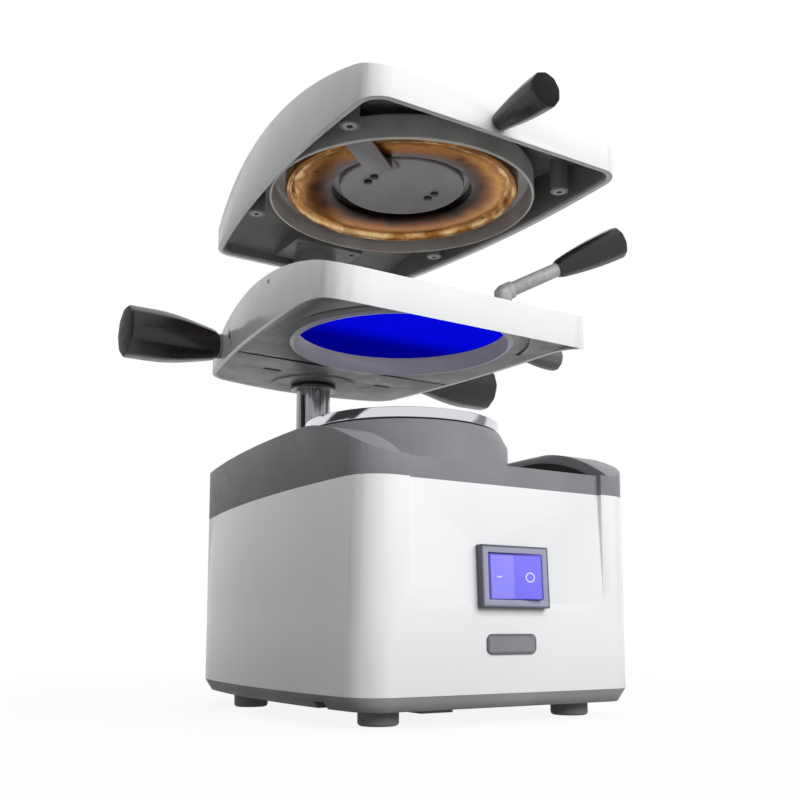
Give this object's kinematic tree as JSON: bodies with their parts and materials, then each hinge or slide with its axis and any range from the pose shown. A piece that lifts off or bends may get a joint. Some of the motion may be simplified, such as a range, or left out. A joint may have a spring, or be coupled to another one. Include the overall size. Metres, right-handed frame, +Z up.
{
  "type": "dental vacuum former",
  "caption": "Bench vacuum former: suction platform in a base box, a sheet carriage that slides on one column, and a heater head that swings over it.",
  "frame": {"origin": "on the resting plane, under the centre of the whole part's box", "axes": "+Z up along the column, +X to the right seen from the switch side, -Y out of the switch side"},
  "size_m": [0.2632, 0.2684, 0.318],
  "materials": {
    "white_shell": "gloss",
    "grey_shell": "satin",
    "black_rubber": "matte",
    "black_plastic": "gloss",
    "dark_liner": "satin",
    "aluminium": "brushed",
    "steel": "brushed",
    "chrome": "polished",
    "cast_grey": "satin",
    "ring_paint": "satin",
    "blue_sheet": "gloss",
    "violet_rocker": "gloss",
    "brass": "satin",
    "gold_reflector": "polished",
    "disc_enamel": "satin"
  },
  "bodies": {
    "base": {"housing": "white_shell", "cap": "grey_shell", "shoulder_liners": "black_plastic", "bottom_tray": "grey_shell", "feet": "black_rubber", "foot_screws": "steel", "platform_gasket": "black_rubber", "platform_ring": "aluminium", "platform_plate": "aluminium", "switch_bezel": "grey_shell", "switch_body": "black_plastic", "badge_plate": "grey_shell", "mains_inlet": "black_plastic", "inlet_pins": "steel", "motor": "steel", "fan_housing": "grey_shell", "suction_duct": "grey_shell", "motor_mounts": "black_rubber", "column_socket": "steel", "column": "chrome", "shaft_collars": "dark_liner"},
    "rocker": {"switch_rocker": "violet_rocker"},
    "fan": {"motor_shaft": "steel", "fan_wheel": "aluminium"},
    "carriage": {"carriage_frame": "white_shell", "carriage_plate": "cast_grey", "window_ring": "ring_paint", "sheet": "blue_sheet", "column_bushes": "black_plastic", "hinge_pins": "steel", "side_grips": "black_plastic", "grip_ferrules": "dark_liner", "grip_studs": "steel"},
    "lid": {"clamp_lid": "white_shell"},
    "lever": {"lever_hub": "black_plastic", "lever_rod": "aluminium", "lever_grip": "black_plastic"},
    "knob": {"knob_screw": "steel", "lock_knob": "black_plastic"},
    "head": {"head_shell": "white_shell", "head_liner": "dark_liner", "heater_bowl": "aluminium", "heater_reflector": "gold_reflector", "heater_coil": "steel", "heater_disc": "disc_enamel", "disc_screws": "steel", "heater_bar": "dark_liner", "head_hub": "dark_liner", "hub_bush": "brass", "head_grip": "black_plastic", "head_grip_stud": "steel"}
  },
  "joints": [
    {"name": "rocker_tilt", "type": "hinge", "parent": "base", "child": "rocker", "pos_m": [-0.001, -0.09419, 0.06736], "axis": [0, 0.0468, 0.9989], "range_deg": [0, 14]},
    {"name": "fan_spin", "type": "hinge", "parent": "base", "child": "fan", "pos_m": [0, -0.00068, 0.05], "axis": [0, 0, 1], "continuous": true},
    {"name": "carriage_slide", "type": "slide", "parent": "base", "child": "carriage", "axis": [0, 0, 1], "range_m": [-0.056, 0]},
    {"name": "lid_open", "type": "hinge", "parent": "carriage", "child": "lid", "pos_m": [0, 0.06932, 0.2145], "axis": [-1, 0, 0], "range_deg": [0, 5]},
    {"name": "lever_turn", "type": "hinge", "parent": "carriage", "child": "lever", "pos_m": [0.021, -0.06667, 0.213], "axis": [0, 0, 1], "range_deg": [-70, 0]},
    {"name": "lock_knob_turn", "type": "hinge", "parent": "carriage", "child": "knob", "pos_m": [0.08254, -0.00967, 0.2095], "axis": [1, 0, 0], "continuous": true},
    {"name": "head_swing", "type": "hinge", "parent": "base", "child": "head", "pos_m": [0, 0.10733, 0.27], "axis": [0, 0, 1], "range_deg": [-90, 90]}
  ],
  "couplings": [
    {"joint": "lid_open", "follows": "lever_turn", "ratio": -0.0714}
  ]
}
